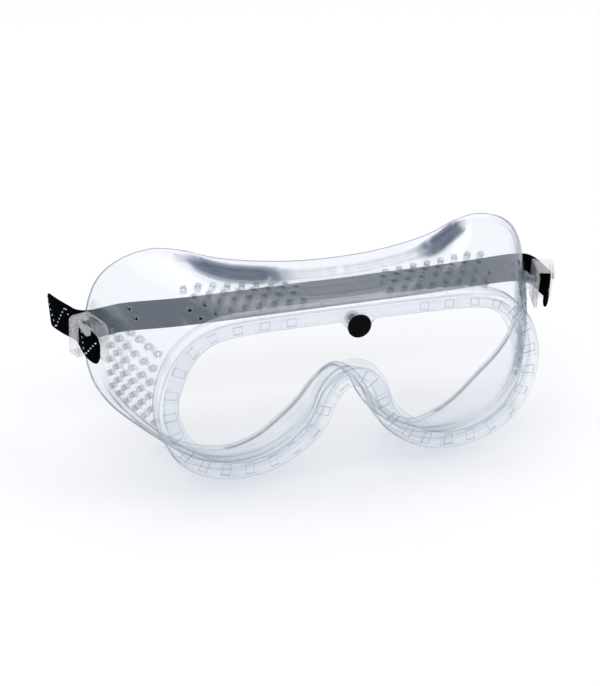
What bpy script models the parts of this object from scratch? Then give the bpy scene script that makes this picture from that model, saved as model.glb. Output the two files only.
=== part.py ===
"""Safety goggles: a soft clear frame with a flat lens, pivoting strap buckles and an elastic headband.

Design space is in millimetres: the origin is the middle of the front rim face, +X is to the right of a
person who looks at the lens, +Y runs back towards the wearer's face and +Z is up. Left and right have that
same sense in every name. Everything hangs on one empty that moves the design origin to the row origin,
which is on the floor under the middle of the whole object.
"""
import math

import bmesh
import bpy
from mathutils import Matrix, Vector

MM = 0.001
COLLECTION = "safety_goggles"

# Driving dimensions, in millimetres.
RIM_DEPTH = 9.0            # front rim, front to back
RIM_EDGE = 0.8             # chamfer on the rim's outer edges
LIP_TOP = 6.0              # width of the front lip above, beside and below the lens
LIP_SIDE = 8.0
LIP_BOTTOM = 7.5
LENS_FRONT = 2.0           # lens front face, behind the rim face
LENS_THICK = 2.0
LENS_PLAY = 0.4            # between the lens edge and the groove bottom
FIT_GAP = 0.3              # clearance between neighbouring pieces
GROOVE_INSET = 3.0         # groove bottom, inside the rim's outer edge
REAR_LIP = 1.5             # how far the rear lip reaches past the front lip
REAR_LIP_BACK = 6.3
REAR_LIP_SLOPE = (2.5, 0.5)  # bevel on the rear lip's free edge: width and depth
WALL_INSET = 2.5           # the wall leaves the rim this far inside its outer edge
WALL_START = 0.6           # and starts this far behind the rim's back face
WALL = 2.0
WALL_BULGE = 1.5
FLANGE_THICK = 1.6
FLANGE_CURL = (3.5, 8.0)   # beside the cheeks: how far the rear flange turns outward, over what depth
TOP_CHANGE = (1.0, -1.0)   # what the other stretches add to that turn and depth
NOSE_CHANGE = (-1.5, -2.0)
SHOULDER_CHANGE = (-2.7, -4.5)
FLANGE_CORNER = (0.15, 0.8)  # control point of the flange's curl, as shares of its turn and depth
FOOT_Z = -41.2             # two flats under the cheeks, the object's lowest faces
FOOT_CUT_X = 70.0          # block that takes off all below FOOT_Z
FOOT_CUT_Y = (20.0, 60.0)
FOOT_CUT_DEPTH = 10.0

STUD_Z = 26.2              # lens stud, in the middle of the top rim
STUD_HEAD_R = 4.8
STUD_HEAD = 1.9
STUD_SHANK_R = 1.5
STUD_EDGE = 0.7            # chamfer round the head
SHANK_REACH = 2.4          # how far the shank comes out behind the rear lip
SHANK_EDGE = 0.4
RETAINER_R = 2.9
RETAINER = 1.4
TAB_TOP_HALF = 6.8         # trapezoid tab that carries the stud
TAB_FOOT_HALF = 2.4
TAB_TOP_Z = 30.0           # inside the lip, which the tab grows out of at TAB_ROOT_Z
TAB_ROOT_Z = 28.0
TAB_FOOT_Z = 22.3
TAB_RECESS = 0.1           # the tabs are a little thinner than the lips they grow from

VENT_R = 1.2
VENT_SIDES = 6
VENT_PITCH = 5.9           # between vents of one row or column, along the rim
VENT_STEP = 4.2            # between columns, front to back
VENT_FIRST_Y = 14.0
SIDE_VENT_COLUMNS = 6
SIDE_VENT_START = 17.4     # top vent of the front column
SIDE_VENT_SHIFT = 1.4      # each column sits this much higher than the one in front of it
SIDE_VENT_TOP = 22.0
SIDE_VENT_BOTTOM = -13.5
SPARE_VENTS = ((26.6, 27.0), (30.8, 29.5))  # (y, z) of the two vents on the shoulder
TOP_VENT_ROWS = 4
TOP_VENTS_PER_ROW = 8
TOP_VENT_START = 18.0      # x of the first vent of a row
TOP_VENT_FIRST_Y = 13.0

STRAP_Z = 16.5             # height of the buckles and of the webbing in them
STRAP_WIDTH = 13.0
STRAP_THICK = 1.3

# Middle of the webbing (x, y, z) from the left tail, through the left buckle, round the back and through
# the right buckle to the right tail, and how far the upper edge lies behind the lower edge there. The tails
# bend in towards the wall. The soft band bows outward and leans behind the left buckle, turns in behind the
# right one, and hangs lower at the back.
STRAP_PATH = (
    (-94.4, 28.2, 13.9, 0), (-96.2, 29.8, 15, 0), (-97.6, 31.8, 15.9, 0), (-98.3, 34, 16.5, 0),
    (-98.3, 40.5, 16.5, 0), (-98.3, 47, 16.5, 0), (-99.6, 51.5, 16.5, 0.4), (-101.8, 56.5, 16.5, 1.8),
    (-103.5, 61.5, 16.4, 4), (-103.9, 66.5, 15.6, 6), (-102.2, 71, 12.4, 6.4), (-97.6, 73.9, 7.6, 5),
    (-91, 75.4, 3, 2.6), (-85.5, 76, 2, 1), (-80, 76.2, 2.6, 0.4), (-70, 76.4, 3.4, 0), (-45, 76.5, 2.6, 0),
    (0, 76.5, 3, 0), (45, 76.3, 3.6, 0), (72, 75.6, 4.4, 0), (85, 73.4, 6, 0), (92.6, 69, 8.6, 0),
    (96.3, 62.5, 11.8, 0), (98, 54.5, 15, 0), (98.3, 47, 16.5, 0), (98.3, 40.5, 16.5, 0),
    (98.3, 34, 16.5, 0), (97.6, 31.8, 15.9, 0), (96.2, 29.8, 15, 0), (94.4, 28.2, 13.9, 0),
)
STRAP_STEPS = 3            # cross-sections for each stretch between two of those points

PIVOT_X = 93.7             # buckle peg axis, along X at the strap's height; foot of the buckle on the axis
PIVOT_Y = 40.0
PAD_FRONT = 37.0           # moulded pad under the buckle
PAD_BACK = 43.0
PAD_OUT = 92.4
PAD_HALF_HEIGHT = 3.0
PAD_EDGE = 1.0
PEG_R = 1.6
PEG_HEAD_R = 2.8
PEG_HEAD_X = (96.35, 96.95)  # the mushroom head, from below to above

# Buckle, as (low, high) pairs in its own directions: out from the pivot's foot, back, and up from the
# strap's height. The buckle leans along the wall, so its front end is nearer the middle plane.
TILT = 18.0                # degrees
PLATE_OUT = (0.3, 1.5)
PLATE_BACK = (-11.5, 4.0)
HALF_HEIGHT = 7.9
PLATE_CORNERS = (0.8, 0.8, 0.8, 4.0)
BORE_R = 2.0
LOOP_OUT = (0.8, 8.8)
LOOP_BACK = (-1.5, 3.5)
LOOP_CORNER = 1.5
HOLE_OUT = (1.2, 7.7)      # the loop's hole, which starts inside the plate
HOLE_HALF_HEIGHT = 6.8
SHELF_OUT = (0.8, 7.6)     # top shelf in front of the loop
SHELF_BACK = (-9.0, -1.0)
SHELF_UP = (6.8, 7.8)
LIP_OUT = (7.3, 8.0)       # rounded lip that hangs from the shelf over the webbing
LIP_OUTLINE = ((-1.0, 7.8), (-8.2, 7.8), (-9.4, 6.9), (-9.6, 5.4), (-8.6, 4.1), (-6.6, 3.7), (-4.0, 4.6),
               (-1.0, 6.5))

# Half of the rim's outer outline (x, z) from the top centre, round the cheek, to the nose arch, and the
# rear flange edge (x, y, z) that belongs to each of those points.
RIM_AND_FLANGE = (
    ((0, 34.2), (0, 35, 38.6)),
    ((16, 34.2), (16, 35, 39.2)),
    ((32, 34), (32, 36, 40.8)),
    ((46, 33.6), (46, 39, 42.6)),
    ((57, 32), (58, 42.5, 45.5)),
    ((66, 28), (70, 45, 46.3)),
    ((73, 21), (82.5, 47, 42)),
    ((77, 13), (90.5, 49.5, 33)),
    ((79.3, 3), (94, 50.5, 19)),
    ((78.8, -7), (94.4, 49.5, 4)),
    ((75.7, -16), (92, 46.8, -8)),
    ((70.5, -24), (85.5, 46, -19)),
    ((63, -29.8), (75.5, 45.5, -29)),
    ((54, -33.2), (63.5, 43, -38)),
    ((44, -34.4), (51, 39.5, -41.8)),
    ((33, -32.8), (40, 35, -41)),
    ((24, -28.8), (29, 32, -36)),
    ((16, -22.8), (20, 30, -28)),
    ((10.3, -15.7), (12.5, 27, -18)),
    ((5.9, -4.9), (7, 25, -8.5)),
    ((0, -0.3), (0, 24, -3)),
)
STEPS_PER_POINT = 2
TOP_POINTS = 4.0           # rail positions where the straight top ends, the side ends and the nose starts
SIDE_POINTS = 11.0
NOSE_POINTS = 16.0
BLEND = 3.0                # rail points over which widths change from one stretch to the next
SHOULDER_POINTS = (2.5, 7.0)  # the flange's shoulder stretch starts and ends here
SHOULDER_BLEND = 2.5


def clear_scene():
    for obj in list(bpy.data.objects):
        bpy.data.objects.remove(obj, do_unlink=True)


def make_collection(name):
    collection = bpy.data.collections.new(name)
    bpy.context.scene.collection.children.link(collection)
    return collection


def material(name, colour, roughness, alpha=1.0, metallic=0.0):
    mat = bpy.data.materials.new(name)
    mat.use_nodes = True
    shader = mat.node_tree.nodes["Principled BSDF"]
    shader.inputs["Base Color"].default_value = (*colour, 1.0)
    shader.inputs["Roughness"].default_value = roughness
    shader.inputs["Metallic"].default_value = metallic
    shader.inputs["Alpha"].default_value = alpha
    return mat


# ---------------------------------------------------------------- rails

def catmull_rom(a, b, c, d, t):
    return 0.5 * (2 * b + (c - a) * t + (2 * a - 5 * b + 4 * c - d) * t * t
                  + (3 * b - a - 3 * c + d) * t ** 3)


def on_rail(points, u):
    """Point u on a half rail, with the mirrored half supplying the end tangents."""
    last = len(points) - 1
    mirror = Vector((-1,) + (1,) * (len(points[0]) - 1))

    def point(i):
        if i < 0:
            return points[-i] * mirror
        if i > last:
            return points[2 * last - i] * mirror
        return points[i]

    i = min(int(u), last - 1)
    return catmull_rom(point(i - 1), point(i), point(i + 1), point(i + 2), u - i)


RIM_RAIL = [Vector(rim) for rim, flange in RIM_AND_FLANGE]
FLANGE_RAIL = [Vector(flange) for rim, flange in RIM_AND_FLANGE]
RAIL_END = len(RIM_RAIL) - 1


def ease(x):
    x = min(max(x, 0.0), 1.0)
    return x * x * (3 - 2 * x)


def lip_width(u):
    """Width of the front lip: it changes from top to side to bottom, and back to the side's at the nose."""
    side = LIP_TOP + (LIP_SIDE - LIP_TOP) * ease((u - TOP_POINTS) / BLEND)
    return side + (LIP_BOTTOM - LIP_SIDE) * ease((u - SIDE_POINTS) / BLEND) * (1 - ease(u - NOSE_POINTS))


def outward(u):
    """Unit normal of the rim outline at u, as a design-space vector."""
    step = 0.01
    if u < step:
        return Vector((0, 0, 1))
    if u > RAIL_END - step:
        return Vector((0, 0, -1))
    run = on_rail(RIM_RAIL, u + step) - on_rail(RIM_RAIL, u - step)
    return Vector((-run.y, 0, run.x)).normalized()


def rim_point(u, inset, y):
    rim = on_rail(RIM_RAIL, u)
    return Vector((rim.x, y, rim.y)) - outward(u) * inset


def flange_curl(u):
    """How far the rear flange turns outward, and over what depth."""
    top = 1 - ease((u - TOP_POINTS) / BLEND)
    nose = ease((u - NOSE_POINTS) / BLEND)
    begun, ended = (ease((u - start) / SHOULDER_BLEND) for start in SHOULDER_POINTS)
    changes = zip(FLANGE_CURL, TOP_CHANGE, NOSE_CHANGE, SHOULDER_CHANGE)
    return [cheek + top * a + nose * b + (begun - ended) * c for cheek, a, b, c in changes]


def wall_point(u, v):
    """Outer face of the wall, from the rim (v = 0) to the flange root (v = 1)."""
    turn, depth = flange_curl(u)
    root = rim_point(u, WALL_INSET, RIM_DEPTH + WALL_START)
    edge = on_rail(FLANGE_RAIL, u)
    end = edge - outward(u) * turn - Vector((0, depth, 0))
    return root.lerp(end, v) + outward(u) * WALL_BULGE * 4 * v * (1 - v)


def flange_point(u, t):
    """Outer face of the flange, a quadratic curl from the wall's end (t = 0) to the edge (t = 1)."""
    turn, depth = flange_curl(u)
    start = wall_point(u, 1)
    corner = start + outward(u) * turn * FLANGE_CORNER[0] + Vector((0, depth * FLANGE_CORNER[1], 0))
    edge = on_rail(FLANGE_RAIL, u)
    return start * (1 - t) ** 2 + corner * 2 * t * (1 - t) + edge * t * t


def section(u):
    """Closed profile of the frame at u: rim, lens groove, wall and flange."""
    lip = lip_width(u)
    outside = [wall_point(u, v) for v in (0, 0.35, 0.7, 1)]
    outside += [flange_point(u, t) for t in (0.5, 1)]
    inside = []
    for i, point in enumerate(outside):
        before = outside[max(i - 1, 0)]
        after = outside[min(i + 1, len(outside) - 1)]
        run = after - before
        along = Vector((run.dot(outward(u)), run.y)).normalized()
        thick = WALL if i < 4 else FLANGE_THICK
        inside.append(point - (outward(u) * along.y - Vector((0, along.x, 0))) * thick)
    rim_front = [rim_point(u, lip, 0), rim_point(u, RIM_EDGE, 0), rim_point(u, 0, RIM_EDGE)]
    rim_back = [rim_point(u, 0, RIM_DEPTH - RIM_EDGE), rim_point(u, RIM_EDGE, RIM_DEPTH)]
    groove_front = LENS_FRONT - FIT_GAP
    groove_back = LENS_FRONT + LENS_THICK + FIT_GAP
    rear = lip + REAR_LIP
    lips = [rim_point(u, rear - REAR_LIP_SLOPE[0], REAR_LIP_BACK),
            rim_point(u, rear, REAR_LIP_BACK - REAR_LIP_SLOPE[1]),
            rim_point(u, rear, groove_back), rim_point(u, GROOVE_INSET, groove_back),
            rim_point(u, GROOVE_INSET, groove_front), rim_point(u, lip, groove_front)]
    return rim_front + rim_back + outside + inside[::-1] + lips


def stations():
    """Rail positions round the whole frame, as (u, side): side is -1 on the mirrored half."""
    half = [i / STEPS_PER_POINT for i in range(RAIL_END * STEPS_PER_POINT + 1)]
    return [(u, 1) for u in half] + [(u, -1) for u in half[-2:0:-1]]


def mirrored(point, side):
    return Vector((point.x * side, point.y, point.z))


# ---------------------------------------------------------------- mesh helpers

def add_mesh(name, bm, collection, mat=None):
    bmesh.ops.recalc_face_normals(bm, faces=bm.faces)
    mesh = bpy.data.meshes.new(name)
    bm.to_mesh(mesh)
    bm.free()
    obj = bpy.data.objects.new(name, mesh)
    collection.objects.link(obj)
    if mat:
        mesh.materials.append(mat)
    return obj


def as_cutter(obj):
    obj.hide_render = True
    obj.display_type = "WIRE"
    return obj


def flat_piece(name, outlines, low, high, place, collection, mat=None):
    """A flat outline with holes, filled, pulled from low to high and put in place by a matrix."""
    curve = bpy.data.curves.new(name, "CURVE")
    curve.dimensions = "2D"
    curve.fill_mode = "BOTH"
    curve.extrude = (high - low) / 2 * MM
    for outline in outlines:
        spline = curve.splines.new("POLY")
        spline.points.add(len(outline) - 1)
        for point, (a, b) in zip(spline.points, outline):
            point.co = (a * MM, b * MM, 0, 1)
        spline.use_cyclic_u = True
    shape = bpy.data.objects.new(name, curve)
    collection.objects.link(shape)
    depsgraph = bpy.context.evaluated_depsgraph_get()
    mesh = bpy.data.meshes.new_from_object(shape.evaluated_get(depsgraph))
    bpy.data.objects.remove(shape, do_unlink=True)
    bm = bmesh.new()
    bm.from_mesh(mesh)
    bpy.data.meshes.remove(mesh)
    bmesh.ops.remove_doubles(bm, verts=bm.verts, dist=0.00001)
    bmesh.ops.translate(bm, verts=bm.verts, vec=(0, 0, (low + high) / 2 * MM))
    bmesh.ops.transform(bm, verts=bm.verts, matrix=place)
    return add_mesh(name, bm, collection, mat)


def rounded_box_outline(a0, a1, b0, b1, radii, segments=4):
    """Rectangle outline with a radius for each corner: low-low, high-low, high-high, low-high."""
    corners = ((a0, b0, 180), (a1, b0, 270), (a1, b1, 0), (a0, b1, 90))
    points = []
    for (a, b, start), radius in zip(corners, radii):
        if radius == 0:
            points.append((a, b))
            continue
        ca = a + radius * (1 if a == a0 else -1)
        cb = b + radius * (1 if b == b0 else -1)
        for i in range(segments + 1):
            turn = math.radians(start + 90 * i / segments)
            points.append((ca + radius * math.cos(turn), cb + radius * math.sin(turn)))
    return points


def circle_outline(a, b, radius, sides):
    turns = [2 * math.pi * i / sides for i in range(sides)]
    return [(a + radius * math.cos(t), b + radius * math.sin(t)) for t in turns]


# A flat outline (a, b) pulled along one design axis: (a, b) is (y, z) for along_x and (x, z) for along_y.
ALONG_X = Matrix(((0, 0, 1, 0), (1, 0, 0, 0), (0, 1, 0, 0), (0, 0, 0, 1)))
ALONG_Y = Matrix(((1, 0, 0, 0), (0, 0, 1, 0), (0, 1, 0, 0), (0, 0, 0, 1)))
ALONG_Z = Matrix.Identity(4)


def boolean(target, cutter, operation):
    modifier = target.modifiers.new(operation.lower(), "BOOLEAN")
    modifier.operation = operation
    modifier.solver = "EXACT"
    modifier.object = cutter
    return modifier


def turned(name, profile, height, collection, mat, sides=24):
    """Profile of (radius, y) pairs turned about the line x = 0, z = height, which runs along Y."""
    mesh = bpy.data.meshes.new(name)
    points = [(radius * MM, 0, -y * MM) for radius, y in profile]
    loops = [(i, (i + 1) % len(points)) for i in range(len(points))]
    closed = loops if min(radius for radius, y in profile) > 0 else loops[:-1]
    mesh.from_pydata(points, closed, [])
    mesh.materials.append(mat)
    obj = bpy.data.objects.new(name, mesh)
    collection.objects.link(obj)
    screw = obj.modifiers.new("turn", "SCREW")
    screw.axis = "Z"
    screw.steps = sides
    screw.render_steps = sides
    screw.use_merge_vertices = True
    screw.merge_threshold = 0.00001
    obj.rotation_euler = (math.radians(90), 0, 0)
    obj.location = (0, 0, height * MM)
    return obj


# ---------------------------------------------------------------- pieces

def frame_shell(collection, mat):
    bm = bmesh.new()
    rings = []
    for u, side in stations():
        ring = [bm.verts.new(mirrored(p, side) * MM) for p in section(u)]
        rings.append(ring)
    for ring, after in zip(rings, rings[1:] + rings[:1]):
        for i in range(len(ring)):
            j = (i + 1) % len(ring)
            bm.faces.new((ring[i], ring[j], after[j], after[i]))
    return add_mesh("frame_body", bm, collection, mat)


def wall_place(y, value, axis, u_low, u_high):
    """The (u, v) where the wall is at depth y and its x (axis 0, top) or z (axis 2, side) has this value."""
    falling = axis == 2
    for _ in range(24):
        u = (u_low + u_high) / 2
        start = wall_point(u, 0).y
        v = (y - start) / (wall_point(u, 1).y - start)
        if (wall_point(u, v)[axis] > value) == falling:
            u_low = u
        else:
            u_high = u
    return u, v


def vent_places():
    """(u, v) of each vent on the right half: staggered rows on top and slanting columns on the side."""
    places = []
    for row in range(TOP_VENT_ROWS):
        y = TOP_VENT_FIRST_Y + row * VENT_STEP
        for i in range(TOP_VENTS_PER_ROW):
            x = TOP_VENT_START + (i + 0.5 * (row % 2)) * VENT_PITCH
            places.append(wall_place(y, x, 0, 0.0, TOP_POINTS + BLEND))
    for column in range(SIDE_VENT_COLUMNS):
        y = VENT_FIRST_Y + column * VENT_STEP
        z = SIDE_VENT_START + column * SIDE_VENT_SHIFT
        if z > SIDE_VENT_TOP:
            z -= VENT_PITCH
        while z > SIDE_VENT_BOTTOM + column * SIDE_VENT_SHIFT:
            places.append(wall_place(y, z, 2, TOP_POINTS, SIDE_POINTS))
            z -= VENT_PITCH
    for y, z in SPARE_VENTS:
        places.append(wall_place(y, z, 2, TOP_POINTS, SIDE_POINTS))
    return places


def vent_cutters(collection):
    bm = bmesh.new()
    length = WALL * 3
    for u, v in vent_places():
        point = wall_point(u, v)
        along_wall = wall_point(u, v + 0.02) - wall_point(u, v - 0.02)
        along_rim = wall_point(u + 0.02, v) - wall_point(u - 0.02, v)
        normal = along_rim.cross(along_wall).normalized()
        for side in (1, -1):
            centre = mirrored(point, side)
            axis = mirrored(normal, side)
            turn = Vector((0, 0, 1)).rotation_difference(axis).to_matrix().to_4x4()
            place = Matrix.Translation((centre - axis * WALL / 2) * MM) @ turn
            bmesh.ops.create_cone(bm, cap_ends=True, segments=VENT_SIDES, radius1=VENT_R * MM,
                                  radius2=VENT_R * MM, depth=length * MM, matrix=place)
    return as_cutter(add_mesh("vent_cutters", bm, collection))


def stud_tabs(collection):
    """Trapezoid tabs on the front and rear lips, which carry the stud."""
    outline = [(-TAB_TOP_HALF, TAB_TOP_Z), (-TAB_TOP_HALF, TAB_ROOT_Z), (-TAB_FOOT_HALF, TAB_FOOT_Z),
               (TAB_FOOT_HALF, TAB_FOOT_Z), (TAB_TOP_HALF, TAB_ROOT_Z), (TAB_TOP_HALF, TAB_TOP_Z)]
    front = (TAB_RECESS, LENS_FRONT - FIT_GAP - TAB_RECESS)
    rear = (LENS_FRONT + LENS_THICK + FIT_GAP + TAB_RECESS, REAR_LIP_BACK - TAB_RECESS)
    tabs = []
    for name, (low, high) in (("front_tab", front), ("rear_tab", rear)):
        tabs.append(as_cutter(flat_piece(name, [outline], low, high, ALONG_Y, collection)))
    return tabs


def stud_hole():
    return circle_outline(0, STUD_Z, STUD_SHANK_R + FIT_GAP, 16)


def buckle_lug(side, collection):
    """Moulded pad on the side wall with a mushroom peg that the buckle turns on."""
    outline = []
    steps = 4
    for i in range(steps + 1):
        y = PAD_FRONT + (PAD_BACK - PAD_FRONT) * i / steps
        outline.append((wall_point(*wall_place(y, STRAP_Z, 2, TOP_POINTS, SIDE_POINTS)).x - WALL / 2, y))
    outline += [(PAD_OUT, PAD_BACK - PAD_EDGE), (PAD_OUT, PAD_FRONT + PAD_EDGE)]
    outline = [(x * side, y) for x, y in outline]
    name = "left_" if side < 0 else "right_"
    tools = [flat_piece(name + "pad", [outline], STRAP_Z - PAD_HALF_HEIGHT, STRAP_Z + PAD_HALF_HEIGHT,
                        ALONG_Z, collection)]
    overlap = 0.2
    shaft = (PAD_OUT - overlap, PEG_HEAD_X[0] + overlap)
    for label, radius, (low, high) in (("peg", PEG_R, shaft), ("peg_head", PEG_HEAD_R, PEG_HEAD_X)):
        bm = bmesh.new()
        middle = Vector(((low + high) / 2 * side, PIVOT_Y, STRAP_Z)) * MM
        turn = Matrix.Rotation(math.radians(90), 4, "Y")
        bmesh.ops.create_cone(bm, cap_ends=True, segments=20, radius1=radius * MM, radius2=radius * MM,
                              depth=(high - low) * MM, matrix=Matrix.Translation(middle) @ turn)
        tools.append(add_mesh(name + label, bm, collection))
    return [as_cutter(tool) for tool in tools]


def frame_body(parts, cutters, mat):
    body = frame_shell(parts, mat)
    for tool in stud_tabs(cutters) + buckle_lug(-1, cutters) + buckle_lug(1, cutters):
        boolean(body, tool, "UNION")
    below = rounded_box_outline(-FOOT_CUT_X, FOOT_CUT_X, *FOOT_CUT_Y, (0,) * 4)
    foot = flat_piece("foot_cutter", [below], FOOT_Z - FOOT_CUT_DEPTH, FOOT_Z, ALONG_Z, cutters)
    boolean(body, as_cutter(foot), "DIFFERENCE")
    bore = flat_piece("stud_bore", [stud_hole()], -1, RIM_DEPTH, ALONG_Y, cutters)
    boolean(body, as_cutter(bore), "DIFFERENCE")
    boolean(body, vent_cutters(cutters), "DIFFERENCE")
    return body


def lens(parts, mat):
    outline = []
    for u, side in stations():
        point = mirrored(rim_point(u, GROOVE_INSET + LENS_PLAY, 0), side)
        outline.append((point.x, point.z))
    back = LENS_FRONT + LENS_THICK
    return flat_piece("lens", [outline, stud_hole()], LENS_FRONT, back, ALONG_Y, parts, mat)


def lens_stud(parts, mat):
    """Black push stud: a domed head in front of the tab and a thin shank through tabs and lens."""
    back = REAR_LIP_BACK + SHANK_REACH
    head_back = -FIT_GAP
    head_front = head_back - STUD_HEAD
    profile = [(0, head_front), (STUD_HEAD_R - STUD_EDGE, head_front), (STUD_HEAD_R, head_front + STUD_EDGE),
               (STUD_HEAD_R, head_back), (STUD_SHANK_R, head_back), (STUD_SHANK_R, back - SHANK_EDGE),
               (STUD_SHANK_R - SHANK_EDGE, back), (0, back)]
    return turned("lens_stud", profile, STUD_Z, parts, mat)


def stud_retainer(parts, mat):
    """Push-on ring that holds the stud behind the rear tab."""
    front = REAR_LIP_BACK + FIT_GAP
    hole = STUD_SHANK_R + FIT_GAP
    back = front + RETAINER
    profile = [(hole, front), (RETAINER_R, front), (RETAINER_R, back), (hole, back)]
    return turned("stud_retainer", profile, STUD_Z, parts, mat)


def buckle_place(side, *directions):
    """Matrix that lays an outline's two directions and its thickness along the buckle's own directions."""
    tilt = math.radians(TILT)
    own = {"out": Vector((math.cos(tilt) * side, -math.sin(tilt), 0)),
           "back": Vector((math.sin(tilt) * side, math.cos(tilt), 0)),
           "up": Vector((0, 0, 1))}
    place = Matrix([own[direction] for direction in directions]).transposed().to_4x4()
    place.translation = Vector((PIVOT_X * side, PIVOT_Y, STRAP_Z)) * MM
    return place


def buckle(name, side, parts, cutters, mat):
    """Base plate on the peg, a loop for the webbing, and a top shelf with a lip over the webbing."""
    lying = buckle_place(side, "back", "up", "out")
    across = buckle_place(side, "out", "up", "back")
    heights = (-HALF_HEIGHT, HALF_HEIGHT)
    plate = rounded_box_outline(*PLATE_BACK, *heights, PLATE_CORNERS)
    body = flat_piece(name, [plate], *PLATE_OUT, lying, parts, mat)

    outer = rounded_box_outline(*LOOP_OUT, *heights, (LOOP_CORNER,) * 4)
    hole = rounded_box_outline(*HOLE_OUT, -HOLE_HALF_HEIGHT, HOLE_HALF_HEIGHT, (0,) * 4)
    shelf = rounded_box_outline(*SHELF_BACK, *SHELF_UP, (0,) * 4)
    pieces = (("_loop", [outer, hole], LOOP_BACK, across), ("_shelf", [shelf], SHELF_OUT, lying),
              ("_lip", [LIP_OUTLINE], LIP_OUT, lying))
    for label, outlines, span, place in pieces:
        boolean(body, as_cutter(flat_piece(name + label, outlines, *span, place, cutters)), "UNION")

    past = 1.5
    ends = sorted((side * (PAD_OUT - past), side * (PEG_HEAD_X[1] + past)))
    bore_outline = circle_outline(PIVOT_Y, STRAP_Z, BORE_R, 20)
    bore = flat_piece(name + "_bore", [bore_outline], *ends, ALONG_X, cutters)
    boolean(body, as_cutter(bore), "DIFFERENCE")
    return body


def strap_line():
    """Middle of the webbing and half of its upright width, at each cross-section."""
    points = [Vector(point) for point in STRAP_PATH]
    padded = [points[0] * 2 - points[1]] + points + [points[-1] * 2 - points[-2]]
    line = []
    for i in range(1, len(padded) - 2):
        line += [catmull_rom(*padded[i - 1:i + 3], step / STRAP_STEPS) for step in range(STRAP_STEPS)]
    line.append(points[-1])
    half = STRAP_WIDTH / 2
    leans = [point.w / 2 for point in line]
    ups = [Vector((0, lean, math.sqrt(half ** 2 - lean ** 2))) for lean in leans]
    return [(point.xyz, up) for point, up in zip(line, ups)]


def headband(parts, mat):
    """Elastic webbing: its cross-section stands upright, but for its lean, all the way round."""
    line = strap_line()
    bm = bmesh.new()
    rings = []
    for i, (point, up) in enumerate(line):
        run = line[min(i + 1, len(line) - 1)][0] - line[max(i - 1, 0)][0]
        across = up.cross(run).normalized() * STRAP_THICK / 2
        rings.append([bm.verts.new(p * MM) for p in
                      (point + across + up, point - across + up, point - across - up, point + across - up)])
    for ring, after in zip(rings, rings[1:]):
        for i in range(4):
            j = (i + 1) % 4
            bm.faces.new((ring[i], ring[j], after[j], after[i]))
    bm.faces.new(rings[0][::-1])
    bm.faces.new(rings[-1])
    return add_mesh("headband", bm, parts, mat)


def main():
    clear_scene()
    parts = make_collection(COLLECTION)
    cutters = make_collection("cutters")

    clear_pvc = material("clear_pvc", (0.90, 0.92, 0.94), 0.15, 0.45)
    clear_sheet = material("clear_lens", (0.95, 0.97, 0.98), 0.03, 0.25)
    clear_plastic = material("clear_buckle_plastic", (0.86, 0.88, 0.90), 0.08, 0.5)
    black_plastic = material("black_plastic", (0.012, 0.012, 0.014), 0.45)
    grey_plastic = material("natural_plastic", (0.75, 0.76, 0.77), 0.3)
    webbing = material("black_webbing", (0.010, 0.011, 0.014), 0.85)

    body = frame_body(parts, cutters, clear_pvc)
    pieces = [body, lens(parts, clear_sheet), lens_stud(parts, black_plastic),
              stud_retainer(parts, grey_plastic), headband(parts, webbing)]
    pivots = {}
    for name, side in (("left", -1), ("right", 1)):
        pivot = bpy.data.objects.new(name + "_pivot", None)
        pivot.location = Vector((PIVOT_X * side, PIVOT_Y, STRAP_Z)) * MM
        parts.objects.link(pivot)
        pivots[name] = pivot
        made = buckle(name + "_buckle", side, parts, cutters, clear_plastic)
        made.parent = pivot
        made.matrix_parent_inverse = Matrix.Translation(-pivot.location)
        for modifier in made.modifiers:
            modifier.object.parent = pivot
            modifier.object.matrix_parent_inverse = Matrix.Translation(-pivot.location)

    row_origin = bpy.data.objects.new("row_origin", None)
    parts.objects.link(row_origin)
    front = -FIT_GAP - STUD_HEAD
    back = max(y for x, y, z, lean in STRAP_PATH) + STRAP_THICK / 2
    for obj in list(parts.objects) + list(cutters.objects):
        if obj.parent is None and obj is not row_origin:
            obj.parent = row_origin
    row_origin.location = Vector((0, -(front + back) / 2, -FOOT_Z)) * MM

    for piece in pieces[2:4]:
        piece.data.shade_smooth()


main()
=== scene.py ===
"""Looks of the safety goggles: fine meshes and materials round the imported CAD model."""
import math

import bmesh
import bpy
from mathutils import Matrix, Vector
from mathutils.kdtree import KDTree

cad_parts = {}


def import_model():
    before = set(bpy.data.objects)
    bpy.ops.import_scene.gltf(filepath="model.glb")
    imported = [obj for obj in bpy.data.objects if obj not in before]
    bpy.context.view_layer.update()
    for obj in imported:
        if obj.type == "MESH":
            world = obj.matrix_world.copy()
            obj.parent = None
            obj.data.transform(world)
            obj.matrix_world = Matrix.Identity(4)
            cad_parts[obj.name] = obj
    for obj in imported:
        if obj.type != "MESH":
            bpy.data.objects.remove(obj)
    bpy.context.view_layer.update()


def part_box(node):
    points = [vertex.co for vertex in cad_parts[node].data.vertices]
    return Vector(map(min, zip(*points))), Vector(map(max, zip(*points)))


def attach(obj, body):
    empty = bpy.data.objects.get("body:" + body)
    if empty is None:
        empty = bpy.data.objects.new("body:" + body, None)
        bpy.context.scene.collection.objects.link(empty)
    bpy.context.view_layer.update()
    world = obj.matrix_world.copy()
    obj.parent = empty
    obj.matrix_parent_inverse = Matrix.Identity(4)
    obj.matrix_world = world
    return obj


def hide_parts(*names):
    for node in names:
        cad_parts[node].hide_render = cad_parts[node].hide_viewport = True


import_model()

MM = 0.001

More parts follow.
